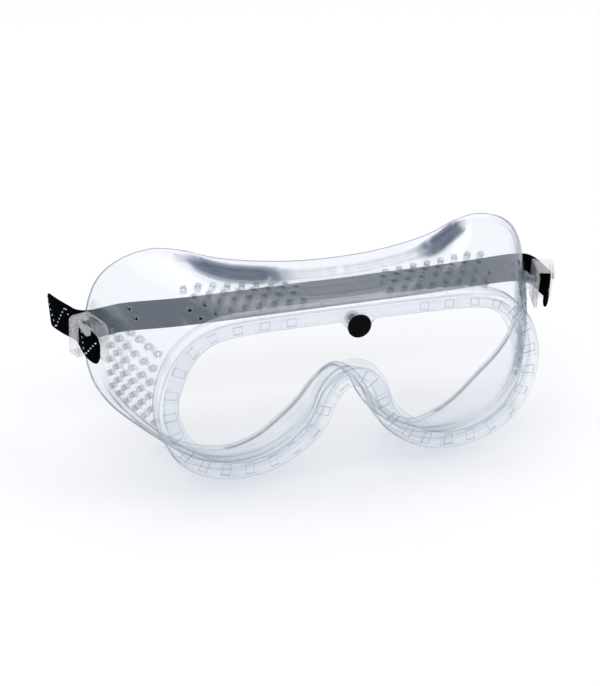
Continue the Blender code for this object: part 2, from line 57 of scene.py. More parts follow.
# ---------------------------------------------------------------- design sizes, in millimetres
# Design space: origin in the middle of the front rim face, +X right, +Y back, +Z up.
RIM_DEPTH = 9.0
RIM_ROUND = 1.1
LIP_TOP, LIP_SIDE, LIP_BOTTOM = 6.0, 8.0, 7.5
LENS_FRONT, LENS_THICK, FIT_GAP = 2.0, 2.0, 0.3
LENS_INSET = 3.4
LENS_TOP = 30.8
GROOVE_INSET = 3.0
REAR_LIP = 1.5
REAR_LIP_BACK = 6.3
WALL_INSET, FOOT_Z = 2.5, -41.2
WALL, WALL_BULGE, FLANGE_THICK = 2.0, 1.5, 1.6
LIP_ROUND, LIP_CUT = 0.45, 0.12
# How far the rear flange turns outward, and over what depth: at the cheek, then what top, nose and shoulder
# add. The shoulder's share rises and falls after its two rail positions.
FLANGE_CURL, TOP_CHANGE, NOSE_CHANGE, SHOULDER_CHANGE = (3.5, 8.0), (1.0, -1.0), (-1.5, -2.0), (-2.7, -4.5)
SHOULDER_POINTS, SHOULDER_BLEND = (2.5, 7.0), 2.5

STUD_Z, STUD_HEAD_R, STUD_HEAD = 26.2, 4.8, 1.9
STUD_SHANK_R, RETAINER_R, RETAINER_DEPTH = 1.5, 2.9, 1.4
STUD_PAST_LIP = 2.4
TAB_TOP_HALF, TAB_FOOT_HALF, TAB_FOOT_Z = 6.8, 2.4, 22.3

VENT_R, VENT_SPAN = 1.15, (-3.2, 1.5)  # span: from inside to outside of the wall's outer face
COLLAR_R, COLLAR_SLOPE, COLLAR_SPAN = 2.0, 0.45, (-0.5, 0.25)
VENT_SIDES = 18
VENT_PITCH, VENT_STEP, VENT_FIRST_Y = 5.9, 4.2, 14.0
SIDE_VENT_COLUMNS, SIDE_VENT_START, SIDE_VENT_SHIFT = 6, 17.4, 1.4
SIDE_VENT_TOP, SIDE_VENT_BOTTOM = 22.0, -13.5
SPARE_VENTS = ((26.6, 27.0), (30.8, 29.5))
TOP_VENT_ROWS, TOP_VENTS_PER_ROW, TOP_VENT_START = 4, 8, 18.0
TOP_VENT_FORWARD = 1.0
PANEL_HALF, PANEL_Y, PANEL_RAISE, PANEL_STEPS = 15.0, (15.0, 20.0, 25.5), 0.3, 8
PANEL_SUNK = 0.5

# Notches in a row along the front lip, with a small raised rib beside two of every three.
NOTCH_FIRST, NOTCH_PITCH, NOTCH_LAST_GAP = 27.0, 10.8, 3.0
NOTCH_WIDTH, NOTCH_DEPTH, NOTCH_MARGINS = 3.6, 0.9, (1.9, 1.0)
LIP_RIB_SHIFT, LIP_RIB_WIDTH, LIP_RIB_MARGINS, LIP_RIB_Y = 0.24, 1.6, (1.5, 0.8), (-0.3, 0.6)
# Raised cross ribs on top of the rim, at these rail positions, and a long bar beside the middle.
TOP_RIBS, TOP_RIB_WIDTH, TOP_RIB_INSET, TOP_RIB_MARGIN = (1.8438, 2.2857, 3.1071), 2.4, (-0.45, 1.0), 1.3
BAR_PLACE, BAR_WIDTH, BAR_INSET, BAR_MARGIN = 0.42, 13.0, (-0.7, 1.0), 1.0

# Painted shade, from 0 to 1 for the darkest: dark outlines on rounded edges, and shade in the vents. Edges:
# place in frame_section's profile, and shade.
LIP_EDGE, FRONT_EDGE, BACK_EDGE, FREE_EDGE = 2, 8, 15, 54
EDGE_PAINTED_SHADE = ((LIP_EDGE, 0.35), (FRONT_EDGE, 0.45), (BACK_EDGE, 0.55),
              (FREE_EDGE - 1, 0.9), (FREE_EDGE, 1.0), (FREE_EDGE + 1, 0.9))
EDGE_MATCH, VENT_PAINTED_SHADE = 0.05, 0.5
# Painted shade along the flange crease, a dark reflection: side, where its broad part starts and ends, and
# its far end.
PAINTED_CREASE_STREAKS = ((-1, 20.0, 50.0, 60.0), (1, 40.0, 58.0, 62.0))
CREASE_STEPS, CREASE_SHARES, CREASE_BLEND = 40, (0.1, 0.3, 0.5), 16.0
CREASE_PAINTED_SHADE, CREASE_REACH = (0.35, 1.0), (0.5, 2.0)  # narrow part, broad part

STRAP_Z, STRAP_WIDTH, STRAP_THICK = 16.5, 13.0, 1.3
# Middle of the webbing (x, y, z), left tail to right tail, and how far its upper edge leans back.
STRAP_PATH = (
    (-94.4, 28.2, 13.9, 0), (-96.2, 29.8, 15, 0), (-97.6, 31.8, 15.9, 0), (-98.3, 34, 16.5, 0),
    (-98.3, 40.5, 16.5, 0), (-98.3, 47, 16.5, 0), (-99.6, 51.5, 16.5, 0.4), (-101.8, 56.5, 16.5, 1.8),
    (-103.5, 61.5, 16.4, 4), (-103.9, 66.5, 15.6, 6), (-102.2, 71, 12.4, 6.4), (-97.6, 73.9, 7.6, 5),
    (-91, 75.4, 3, 2.6), (-85.5, 76, 2, 1), (-80, 76.2, 2.6, 0.4), (-70, 76.4, 3.4, 0), (-45, 76.5, 2.6, 0),
    (0, 76.5, 3, 0), (45, 76.3, 3.6, 0), (72, 75.6, 4.4, 0), (85, 73.4, 6, 0), (92.6, 69, 8.6, 0),
    (96.3, 62.5, 11.8, 0), (98, 54.5, 15, 0), (98.3, 47, 16.5, 0), (98.3, 40.5, 16.5, 0),
    (98.3, 34, 16.5, 0), (97.6, 31.8, 15.9, 0), (96.2, 29.8, 15, 0), (94.4, 28.2, 13.9, 0),
)
STRAP_RIBS, STRAP_RIB_STEPS, STRAP_RIB_HEIGHT, SELVEDGE_POWER = 11, 55, 0.09, 14
TAIL_CORNER, TAIL_HALF = 3.4, 0.4
# Tracer stitches: half a zigzag along the band, spacing, gap to the selvedge and tail ends, and half sizes.
ZIGZAG, STITCH_SPACING, STITCH_MARGIN, STITCH_END = 7.0, 2.1, 1.0, 1.6
STITCH_SIZE, STITCH_SUNK = (0.42, 0.34, 0.16), 0.03
PIVOT_X, PIVOT_Y = 93.7, 40.0
PAD_FRONT, PAD_BACK, PAD_OUT, PAD_HALF_HEIGHT = 37.0, 43.0, 92.4, 3.0
PEG_R, PEG_HEAD_R, PEG_HEAD_X = 1.6, 2.8, (96.35, 96.95)

# Buckle, in its own directions: out from the pivot's foot, back, and up from the strap's height.
TILT = 18.0
HALF_HEIGHT, BORE_R, BUCKLE_ROUND = 7.9, 2.0, 0.22
BORE_MARGIN = 1.5
PLATE_OUT, PLATE_BACK = (0.3, 1.5), (-11.5, 4.0)
LOOP_OUT, LOOP_BACK = (0.8, 8.8), (-1.5, 3.5)
HOLE_OUTER, HOLE_HALF_HEIGHT = 7.7, 6.8
SHELF_OUT, SHELF_BACK, SHELF_UP = (0.8, 7.6), (-9.0, -1.0), (6.8, 7.8)
LIP_OUT = (7.3, 8.0)
LIP_OUTLINE = ((-1.0, 7.8), (-8.2, 7.8), (-9.0, 7.5), (-9.4, 6.9), (-9.65, 6.15), (-9.6, 5.4), (-9.2, 4.65),
               (-8.6, 4.1), (-7.6, 3.75), (-6.6, 3.7), (-5.3, 4.05), (-4.0, 4.6), (-2.5, 5.5), (-1.0, 6.5))

# Half outline of the rim (x, z), top centre to nose arch, and the rear flange edge (x, y, z) beside it.
RIM_AND_FLANGE = (
    ((0, 34.2), (0, 35, 38.6)),
    ((16, 34.2), (16, 35, 39.2)),
    ((32, 34), (32, 36, 40.8)),
    ((46, 33.6), (46, 39, 42.6)),
    ((57, 32), (58, 42.5, 45.5)),
    ((66, 28), (70, 45, 46.3)),
    ((73, 21), (82.5, 47, 42)),
    ((77, 13), (90.5, 49.5, 33)),
    ((79.3, 3), (94, 50.5, 19)),
    ((78.8, -7), (94.4, 49.5, 4)),
    ((75.7, -16), (92, 46.8, -8)),
    ((70.5, -24), (85.5, 46, -19)),
    ((63, -29.8), (75.5, 45.5, -29)),
    ((54, -33.2), (63.5, 43, -38)),
    ((44, -34.4), (51, 39.5, -41.8)),
    ((33, -32.8), (40, 35, -41)),
    ((24, -28.8), (29, 32, -36)),
    ((16, -22.8), (20, 30, -28)),
    ((10.3, -15.7), (12.5, 27, -18)),
    ((5.9, -4.9), (7, 25, -8.5)),
    ((0, -0.3), (0, 24, -3)),
)
RIM_RAIL = [Vector(rim) for rim, flange in RIM_AND_FLANGE]
FLANGE_RAIL = [Vector(flange) for rim, flange in RIM_AND_FLANGE]
RAIL_END = len(RIM_RAIL) - 1
TOP_POINTS, SIDE_POINTS, NOSE_POINTS, POINTS_BLEND = 4.0, 11.0, 16.0, 3.0
STATIONS_PER_POINT = 8

lens_low, lens_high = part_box("lens")
ORIGIN = Vector((0, lens_low.y - LENS_FRONT * MM, lens_high.z - LENS_TOP * MM))


def world(point):
    return ORIGIN + Vector(point) * MM


X, Y, Z = Vector((1, 0, 0)), Vector((0, 1, 0)), Vector((0, 0, 1))
ALONG_X, ALONG_Y, ALONG_Z = (Y, Z, X), (X, Z, Y), (X, Y, Z)


# ---------------------------------------------------------------- rails

def catmull_rom(a, b, c, d, t):
    return 0.5 * (2 * b + (c - a) * t + (2 * a - 5 * b + 4 * c - d) * t * t
                  + (3 * b - a - 3 * c + d) * t ** 3)


def on_rail(points, u):
    last = len(points) - 1
    mirror = Vector((-1,) + (1,) * (len(points[0]) - 1))

    def point(i):
        if i < 0:
            return points[-i] * mirror
        if i > last:
            return points[2 * last - i] * mirror
        return points[i]

    i = max(0, min(int(math.floor(u)), last - 1))
    return catmull_rom(point(i - 1), point(i), point(i + 1), point(i + 2), u - i)


def ease(x):
    x = min(max(x, 0.0), 1.0)
    return x * x * (3 - 2 * x)


def lip_width(u):
    side = LIP_TOP + (LIP_SIDE - LIP_TOP) * ease((u - TOP_POINTS) / POINTS_BLEND)
    bottom = ease((u - SIDE_POINTS) / POINTS_BLEND) * (1 - ease(u - NOSE_POINTS))
    return side + (LIP_BOTTOM - LIP_SIDE) * bottom


def outward(u):
    step = 0.01
    if u < step:
        return Vector((0, 0, 1))
    if u > RAIL_END - step:
        return Vector((0, 0, -1))
    run = on_rail(RIM_RAIL, u + step) - on_rail(RIM_RAIL, u - step)
    return Vector((-run.y, 0, run.x)).normalized()


def rim_point(u, inset, y):
    rim = on_rail(RIM_RAIL, u)
    return Vector((rim.x, y, rim.y)) - outward(u) * inset


def flange_curl(u):
    """How far the rear flange turns outward, and over what depth: cheek, top, nose and shoulder."""
    top = 1 - ease((u - TOP_POINTS) / POINTS_BLEND)
    nose = ease((u - NOSE_POINTS) / POINTS_BLEND)
    rise, fall = (ease((u - start) / SHOULDER_BLEND) for start in SHOULDER_POINTS)
    shoulder = rise - fall
    changes = zip(FLANGE_CURL, TOP_CHANGE, NOSE_CHANGE, SHOULDER_CHANGE)
    return [cheek + top * a + nose * b + shoulder * c for cheek, a, b, c in changes]


def wall_point(u, v):
    turn, depth = flange_curl(u)
    root = rim_point(u, WALL_INSET, RIM_DEPTH + 0.6)
    end = on_rail(FLANGE_RAIL, u) - outward(u) * turn - Vector((0, depth, 0))
    return root.lerp(end, v) + outward(u) * WALL_BULGE * 4 * v * (1 - v)


def flange_point(u, t):
    turn, depth = flange_curl(u)
    start = wall_point(u, 1)
    corner = start + Vector((0, depth * 0.8, 0)) + outward(u) * turn * 0.15
    edge = on_rail(FLANGE_RAIL, u)
    return start * (1 - t) ** 2 + corner * 2 * t * (1 - t) + edge * t * t


def wall_place(y, value, axis, u_low, u_high):
    """The (u, v) where the wall at depth y has this x (axis 0, top) or z (axis 2, side)."""
    for _ in range(24):
        u = (u_low + u_high) / 2
        start = wall_point(u, 0).y
        v = (y - start) / (wall_point(u, 1).y - start)
        if (wall_point(u, v)[axis] > value) == (axis == 2):
            u_low = u
        else:
            u_high = u
    return u, v


def wall_frame(u, v):
    """Point, along-rim tangent and outward normal of the wall."""
    along_wall = wall_point(u, v + 0.02) - wall_point(u, v - 0.02)
    along_rim = wall_point(u + 0.02, v) - wall_point(u - 0.02, v)
    normal = along_rim.cross(along_wall).normalized()
    if normal.dot(outward(u)) < 0:
        normal = -normal
    return wall_point(u, v), along_rim.normalized(), normal


def mirrored(point, side):
    return Vector((point.x * side, point.y, point.z))


# ---------------------------------------------------------------- mesh helpers

def object_from(name, bm, mat=None, smooth=35):
    bmesh.ops.recalc_face_normals(bm, faces=bm.faces)
    mesh = bpy.data.meshes.new(name)
    bm.to_mesh(mesh)
    bm.free()
    if smooth:
        mesh.shade_smooth()
        mesh.set_sharp_from_angle(angle=math.radians(smooth))
    if mat:
        mesh.materials.append(mat)
    obj = bpy.data.objects.new(name, mesh)
    bpy.context.scene.collection.objects.link(obj)
    return obj


def loft(bm, rings, closed=True, caps=False):
    """Faces between rings of world points; closed joins the last to the first. Returns the vertices."""
    made = [[bm.verts.new(p) for p in ring] for ring in rings]
    pairs = list(zip(made, made[1:])) + ([(made[-1], made[0])] if closed else [])
    for ring, after in pairs:
        for i in range(len(ring)):
            j = (i + 1) % len(ring)
            bm.faces.new((ring[i], ring[j], after[j], after[i]))
    if caps:
        bm.faces.new(made[0][::-1])
        bm.faces.new(made[-1])
    return made


def smooth_shaded(obj, angle):
    obj.data.shade_smooth()
    obj.data.set_sharp_from_angle(angle=math.radians(angle))


def apply_modifiers(obj):
    depsgraph = bpy.context.evaluated_depsgraph_get()
    mesh = bpy.data.meshes.new_from_object(obj.evaluated_get(depsgraph))
    obj.modifiers.clear()
    old = obj.data
    obj.data = mesh
    bpy.data.meshes.remove(old)


def boolean(target, bm, operation):
    """Join or cut the target with the solids in bm, at once."""
    tool = object_from("tool", bm, smooth=0)
    modifier = target.modifiers.new("tool", "BOOLEAN")
    modifier.operation = operation
    modifier.solver = "EXACT"
    modifier.object = tool
    apply_modifiers(target)
    bpy.data.objects.remove(tool, do_unlink=True)


def bevelled(obj, width):
    """Rounds the object's sharp edges."""
    modifier = obj.modifiers.new("round", "BEVEL")
    modifier.width = width * MM
    modifier.segments = 2
    modifier.limit_method = "ANGLE"
    modifier.angle_limit = math.radians(30)
    modifier.harden_normals = False
    apply_modifiers(obj)
    smooth_shaded(obj, 50)
    return obj


def slab(bm, outline, low, high, axes, origin=(0, 0, 0)):
    """A simple outline of (a, b) pulled from low to high; axes are the a, b and pull directions."""
    across, up, pull = axes
    ends = []
    for c in (low, high):
        points = [Vector(origin) + across * a + up * b + pull * c for a, b in outline]
        ends.append([bm.verts.new(world(point)) for point in points])
    count = len(outline)
    for i in range(count):
        j = (i + 1) % count
        bm.faces.new((ends[0][i], ends[0][j], ends[1][j], ends[1][i]))
    bm.faces.new(ends[0][::-1])
    bm.faces.new(ends[1])


def rounded_outline(a0, a1, b0, b1, radii, segments=8):
    corners = ((a0, b0, 180), (a1, b0, 270), (a1, b1, 0), (a0, b1, 90))
    points = []
    for (a, b, start), radius in zip(corners, radii):
        ca = a + radius * (1 if a == a0 else -1)
        cb = b + radius * (1 if b == b0 else -1)
        for i in range(segments + 1):
            turn = math.radians(start + 90 * i / segments)
            points.append((ca + radius * math.cos(turn), cb + radius * math.sin(turn)))
    return points


def circle(a, b, radius, sides=32):
    turns = [2 * math.pi * i / sides for i in range(sides)]
    return [(a + radius * math.cos(t), b + radius * math.sin(t)) for t in turns]


def cone(bm, base, axis, r_low, r_high, low, high, sides):
    """A cone frustum on an axis through a design point, from low to high along the axis."""
    turn = Vector((0, 0, 1)).rotation_difference(axis).to_matrix().to_4x4()
    centre = world(base + axis * (low + high) / 2)
    bmesh.ops.create_cone(bm, cap_ends=True, segments=sides, radius1=r_low * MM, radius2=r_high * MM,
                          depth=(high - low) * MM, matrix=Matrix.Translation(centre) @ turn)


def turned(name, profile, axes, centre, mat, sides):
    """(radius, distance) profile turned about the third axis; one that starts at radius 0 is solid."""
    across, up, along = axes
    bm = bmesh.new()
    rings = []
    for radius, distance in profile:
        middle = Vector(centre) + along * distance
        outline = circle(0, 0, max(radius, 0.01), sides)
        rings.append([world(middle + across * a + up * b) for a, b in outline])
    closed = profile[0][0] > 0
    loft(bm, rings, closed=closed, caps=not closed)
    return object_from(name, bm, mat)


# ---------------------------------------------------------------- materials

PAINTED_SHADE_TINT = (0.24, 0.27, 0.34)      # what the darkest painted shade lets through
LIP_SHADE_TINT = (0.70, 0.71, 0.74)    # painted shade on the notches' sides: what they let through
NOTCH_MATCH = 0.1
MOST_GLOSS = 0.3
WEFT_PITCH, WARP_PITCH = 0.9, 1.2


class Nodes:
    """Small helper for building a material's node tree."""

    def __init__(self, name):
        self.mat = bpy.data.materials.new(name)
        self.mat.use_nodes = True
        self.tree = self.mat.node_tree
        self.tree.nodes.clear()

    def add(self, kind, **inputs):
        node = self.tree.nodes.new(kind)
        for key, value in inputs.items():
            label = key.replace("_", " ")
            numbered = key[0] == "i" and key[1:].isdigit()
            socket = node.inputs[int(key[1:])] if numbered else node.inputs[label]
            if isinstance(value, bpy.types.NodeSocket):
                self.tree.links.new(value, socket)
            else:
                socket.default_value = value
        return node

    def math(self, operation, a, b=0.0, c=0.0):
        node = self.add("ShaderNodeMath")
        node.operation = operation
        for socket, value in zip(node.inputs, (a, b, c)):
            if isinstance(value, bpy.types.NodeSocket):
                self.tree.links.new(value, socket)
            else:
                socket.default_value = value
        return node.outputs[0]

    def ramp(self, value, stops):
        node = self.add("ShaderNodeValToRGB", Fac=value)
        ramp = node.color_ramp
        while len(ramp.elements) < len(stops):
            ramp.elements.new(0.5)
        for element, (place, colour) in zip(ramp.elements, stops):
            element.position = place
            element.color = (*colour, 1.0)
        return node.outputs["Color"]

    def mix_colour(self, factor, a, b):
        node = self.add("ShaderNodeMix")
        node.data_type = "RGBA"
        for key, value in ((0, factor), (6, a), (7, b)):
            if isinstance(value, bpy.types.NodeSocket):
                self.tree.links.new(value, node.inputs[key])
            else:
                node.inputs[key].default_value = value if key == 0 else (*value, 1.0)
        return node.outputs[2]

    def shader_mix(self, factor, a, b):
        return self.add("ShaderNodeMixShader", i0=factor, i1=a, i2=b).outputs[0]

    def finish(self, shader):
        output = self.add("ShaderNodeOutputMaterial")
        self.tree.links.new(shader, output.inputs["Surface"])
        return self.mat


def lip_shade_mask(n, coords):
    """1 on the upright faces just behind the front rim face, such as the sides of the lip's notches, which
    get painted shade.
    """
    turn = n.add("ShaderNodeSeparateXYZ", Vector=coords.outputs["Normal"]).outputs["Y"]
    depth = n.add("ShaderNodeSeparateXYZ", Vector=coords.outputs["Object"]).outputs["Y"]
    upright = n.math("LESS_THAN", n.math("ABSOLUTE", turn), 0.4)
    foot = world((0, NOTCH_DEPTH + NOTCH_MATCH, 0)).y
    return n.math("MULTIPLY", upright, n.math("LESS_THAN", depth, foot))


def clear_material(name, face, edge, milk_share, milk, roughness, inner_shine, painted_frame_shade=False, bump=0.0):
    """Clear plastic: light passes straight through, tinted from face to edge as the surface turns away,
    with a share of milk; the edge tint is painted shade. It shines outside and, less, inside. Painted frame
    shade darkens the crease, vents, rounded edges and notch sides."""
    n = Nodes(name)
    coords = n.add("ShaderNodeTexCoord")
    noise = n.add("ShaderNodeTexNoise", Vector=coords.outputs["Object"], Scale=130.0, Detail=2.0)
    normal = n.add("ShaderNodeBump", Height=noise.outputs["Fac"], Strength=bump, Distance=0.001).outputs[0]
    facing = n.add("ShaderNodeLayerWeight", Blend=0.5, Normal=normal).outputs["Facing"]
    between = tuple((a * 3 + b) / 4 for a, b in zip(face, edge))
    # Painted shade: the tint darkens towards the edge colour where the surface turns away, for the dark
    # edges of clear plastic.
    tint = n.ramp(facing, ((0.0, face), (0.60, face), (0.80, between), (0.96, edge)))
    if painted_frame_shade:
        # Painted shade on the frame: crease, vents and rounded edges, broken up by noise.
        painted_shade = n.add("ShaderNodeAttribute")
        painted_shade.attribute_name = "painted_shade"
        waver = n.add("ShaderNodeMapRange", Value=noise.outputs["Fac"], From_Min=0.2, From_Max=0.42)
        tint = n.mix_colour(n.math("MULTIPLY", painted_shade.outputs["Fac"], waver.outputs[0]), tint, PAINTED_SHADE_TINT)
        # Painted shade on the upright lip faces, such as the notch sides.
        tint = n.mix_colour(lip_shade_mask(n, coords), tint, LIP_SHADE_TINT)
    through = n.add("ShaderNodeBsdfTransparent", Color=tint).outputs[0]
    front_lit = n.add("ShaderNodeBsdfDiffuse", Color=(*milk, 1)).outputs[0]
    back_lit = n.add("ShaderNodeBsdfTranslucent", Color=(*milk, 1)).outputs[0]
    cloud = n.shader_mix(0.5, front_lit, back_lit)
    body = n.shader_mix(milk_share, through, cloud)
    gloss = n.add("ShaderNodeBsdfGlossy", Color=(1, 1, 1, 1), Roughness=roughness, Normal=normal).outputs[0]
    fresnel = n.add("ShaderNodeFresnel", IOR=1.46, Normal=normal).outputs[0]
    backfacing = n.add("ShaderNodeNewGeometry").outputs["Backfacing"]
    share = n.math("SUBTRACT", 1.0, n.math("MULTIPLY", backfacing, 1.0 - inner_shine))
    shine = n.math("MULTIPLY", n.math("MINIMUM", fresnel, MOST_GLOSS), share)
    return n.finish(n.shader_mix(shine, body, gloss))


def black_plastic():
    n = Nodes("black_plastic")
    coords = n.add("ShaderNodeTexCoord")
    noise = n.add("ShaderNodeTexNoise", Vector=coords.outputs["Object"], Scale=900.0, Detail=3.0)
    bump = n.add("ShaderNodeBump", Height=noise.outputs["Fac"], Strength=0.15, Distance=0.0002)
    rough = n.add("ShaderNodeMapRange", Value=noise.outputs["Fac"], To_Min=0.5, To_Max=0.65).outputs[0]
    shader = n.add("ShaderNodeBsdfPrincipled", Base_Color=(0.0015, 0.0015, 0.002, 1), Roughness=rough,
                   Normal=bump.outputs["Normal"], Specular_IOR_Level=0.04)
    return n.finish(shader.outputs[0])


def natural_plastic():
    n = Nodes("natural_plastic")
    coords = n.add("ShaderNodeTexCoord")
    noise = n.add("ShaderNodeTexNoise", Vector=coords.outputs["Object"], Scale=500.0)
    colour = n.ramp(noise.outputs["Fac"], ((0.3, (0.78, 0.79, 0.80)), (0.7, (0.86, 0.87, 0.88))))
    shader = n.add("ShaderNodeBsdfPrincipled", Base_Color=colour, Roughness=0.35)
    through = n.add("ShaderNodeBsdfTransparent", Color=(0.9, 0.92, 0.94, 1))
    return n.finish(n.shader_mix(0.5, shader.outputs[0], through.outputs[0]))


def webbing_material():
    """Black elastic: fine cross ribs over the modelled lengthwise ribs, with painted sheen: higher threads
    are painted lighter, with random tone from noise.
    """
    n = Nodes("black_webbing")
    uv = n.add("ShaderNodeUVMap")
    uv.uv_map = "weave"
    split = n.add("ShaderNodeSeparateXYZ", Vector=uv.outputs["UV"])
    along = n.math("MULTIPLY", split.outputs["X"], 2 * math.pi / WEFT_PITCH)
    across = n.math("MULTIPLY", split.outputs["Y"], 2 * math.pi / WARP_PITCH)
    weft = n.math("SINE", n.math("ADD", along, n.math("MULTIPLY", n.math("SINE", across), 1.4)))
    noise = n.add("ShaderNodeTexNoise", Vector=uv.outputs["UV"], Scale=3.0, Detail=4.0)
    height = n.math("ADD", n.math("MULTIPLY", weft, 0.5), noise.outputs["Fac"])
    bump = n.add("ShaderNodeBump", Height=height, Strength=0.6, Distance=0.0003)
    # Painted sheen: the colour lightens with the thread height.
    colour = n.ramp(height, ((0.1, (0.0005, 0.0005, 0.0007)), (0.9, (0.0025, 0.0025, 0.0035))))
    shader = n.add("ShaderNodeBsdfPrincipled", Base_Color=colour, Roughness=0.9,
                   Normal=bump.outputs["Normal"], Specular_IOR_Level=0.01)
    return n.finish(shader.outputs[0])


def tracer_material():
    n = Nodes("tracer_thread")
    coords = n.add("ShaderNodeTexCoord")
    noise = n.add("ShaderNodeTexNoise", Vector=coords.outputs["Object"], Scale=400.0)
    colour = n.ramp(noise.outputs["Fac"], ((0.35, (0.22, 0.42, 0.75)), (0.62, (0.75, 0.84, 0.95))))
    shader = n.add("ShaderNodeBsdfPrincipled", Base_Color=colour, Roughness=0.55)
    return n.finish(shader.outputs[0])


# ---------------------------------------------------------------- frame

def rounded(points):
    """The line with its corners cut twice, which keeps its ends."""
    for _ in range(2):
        cut = [points[0]]
        for a, b in zip(points, points[1:]):
            cut += [a.lerp(b, 0.25), a.lerp(b, 0.75)]
        points = cut + [points[-1]]
    return points


def rim_section(lip):
    """(inset, y) profile of the rim from the lens, round its outside, to the foot of the wall."""
    r = RIM_ROUND
    back = RIM_DEPTH - r
    quarter = [math.radians(a) for a in (0, 22, 45, 68, 90)]
    rim = [(lip, LENS_FRONT - FIT_GAP - 0.15), (lip, LIP_ROUND), (lip - LIP_CUT, LIP_CUT)]
    rim += [(lip - LIP_ROUND, 0), (lip * 0.72, 0), (lip * 0.45, 0)]
    rim += [(r - r * math.sin(t), r - r * math.cos(t)) for t in quarter]
    rim += [(0, RIM_DEPTH * 0.35), (0, RIM_DEPTH * 0.65)]
    rim += [(r - r * math.cos(t), back + r * math.sin(t)) for t in quarter]
    return rim + [(WALL_INSET - 0.7, RIM_DEPTH), (WALL_INSET - 0.25, RIM_DEPTH + 0.12)]


def back_lip_section(lip):
    """(inset, y) profile from the inside of the wall, over the rear lip and round the lens groove."""
    rear = lip + REAR_LIP
    groove_back = LENS_FRONT + LENS_THICK + FIT_GAP
    groove_front = LENS_FRONT - FIT_GAP
    return [(WALL_INSET + WALL + 0.2, RIM_DEPTH - 0.6), (rear - 3.4, REAR_LIP_BACK + 0.5),
            (rear - 2.4, REAR_LIP_BACK), (rear - 0.5, REAR_LIP_BACK - 0.1),
            (rear - 0.1, REAR_LIP_BACK - 0.4), (rear, REAR_LIP_BACK - 0.8),
            (rear, groove_back + 0.2), (rear - 0.2, groove_back),
            (GROOVE_INSET + 0.2, groove_back), (GROOVE_INSET, groove_back - 0.2),
            (GROOVE_INSET, groove_front + 0.2), (GROOVE_INSET + 0.2, groove_front),
            (lip - 0.15, groove_front)]


def frame_section(u):
    """Closed profile at u as design points: rim, wall and flange outside, free edge, inside, rear lip."""
    lip = lip_width(u)
    points = [rim_point(u, inset, y) for inset, y in rim_section(lip)]

    outside = rounded([wall_point(u, v) for v in (0, 0.25, 0.5, 0.75, 1)]
                      + [flange_point(u, t) for t in (0.35, 0.7, 1)])
    inside = []
    for i, point in enumerate(outside):
        run = outside[min(i + 1, len(outside) - 1)] - outside[max(i - 1, 0)]
        along = Vector((run.dot(outward(u)), run.y)).normalized()
        normal = outward(u) * along.y - Vector((0, along.x, 0))
        share = ease(i / len(outside) * 2 - 0.8)
        thick = WALL + (FLANGE_THICK - WALL) * share
        inside.append(point - normal * thick)
    edge, inner_edge = outside[-1], inside[-1]
    middle = (edge + inner_edge) / 2
    spread = (edge - inner_edge) / 2
    tip = (edge - outside[-2]).normalized()
    bead = [middle + spread * math.cos(t) + tip * (spread.length * math.sin(t))
            for t in [math.radians(a) for a in (30, 60, 90, 120, 150)]]
    points += outside + bead + inside[::-1]
    return points + [rim_point(u, inset, y) for inset, y in back_lip_section(lip)]


def stations():
    """(rail position, side) all the way round, from the top centre."""
    half = [i / STATIONS_PER_POINT for i in range(RAIL_END * STATIONS_PER_POINT + 1)]
    return [(u, 1) for u in half] + [(u, -1) for u in half[-2:0:-1]]


def vent_places():
    places = []
    for row in range(TOP_VENT_ROWS):
        y = VENT_FIRST_Y - TOP_VENT_FORWARD + row * VENT_STEP
        for i in range(TOP_VENTS_PER_ROW):
            x = TOP_VENT_START + (i + 0.5 * (row % 2)) * VENT_PITCH
            places.append(wall_place(y, x, 0, 0.0, TOP_POINTS + POINTS_BLEND))
    for column in range(SIDE_VENT_COLUMNS):
        y = VENT_FIRST_Y + column * VENT_STEP
        z = SIDE_VENT_START + column * SIDE_VENT_SHIFT
        if z > SIDE_VENT_TOP:
            z -= VENT_PITCH
        while z > SIDE_VENT_BOTTOM + column * SIDE_VENT_SHIFT:
            places.append(wall_place(y, z, 2, TOP_POINTS, SIDE_POINTS))
            z -= VENT_PITCH
    for y, z in SPARE_VENTS:
        places.append(wall_place(y, z, 2, TOP_POINTS, SIDE_POINTS))
    return places


def rim_length(u):
    steps = 200
    points = [on_rail(RIM_RAIL, u * i / steps) for i in range(steps + 1)]
    return sum((b - a).length for a, b in zip(points, points[1:]))


def rim_block(bm, u, side, width, inset, y, half_width_points=2):
    """A block that follows the rim: inset and y are (low, high) ranges, width runs along the outline."""
    step = 0.01
    speed = (on_rail(RIM_RAIL, u + step) - on_rail(RIM_RAIL, u - step)).length / (2 * step)
    half = width / 2 / speed
    rings = []
    for i in range(-half_width_points, half_width_points + 1):
        at = min(max(u + half * i / half_width_points, 0), RAIL_END)
        corners = ((inset[0], y[0]), (inset[1], y[0]), (inset[1], y[1]), (inset[0], y[1]))
        rings.append([world(mirrored(rim_point(at, a, b), side)) for a, b in corners])
    loft(bm, rings, closed=False, caps=True)


def notch_places():
    """Rail positions of the notches in the front lip, evenly spaced along the outline."""
    steps = 20
    table = [(0.0, 0.0)]
    for i in range(1, RAIL_END * steps + 1):
        u = i / steps
        table.append((table[-1][0] + (on_rail(RIM_RAIL, u) - on_rail(RIM_RAIL, u - 1 / steps)).length, u))
    places = []
    distance = NOTCH_FIRST
    while distance < rim_length(RAIL_END) - NOTCH_LAST_GAP:
        places.append(next(u for length, u in table if length >= distance))
        distance += NOTCH_PITCH
    return places


def add_vents(joined, cut):
    for u, v in vent_places():
        point, along, normal = wall_frame(u, v)
        for side in (1, -1):
            base, axis = mirrored(point, side), mirrored(normal, side)
            cone(joined, base, axis, COLLAR_R, COLLAR_R - COLLAR_SLOPE, *COLLAR_SPAN, VENT_SIDES)
            cone(cut, base, axis, VENT_R, VENT_R, *VENT_SPAN, VENT_SIDES)


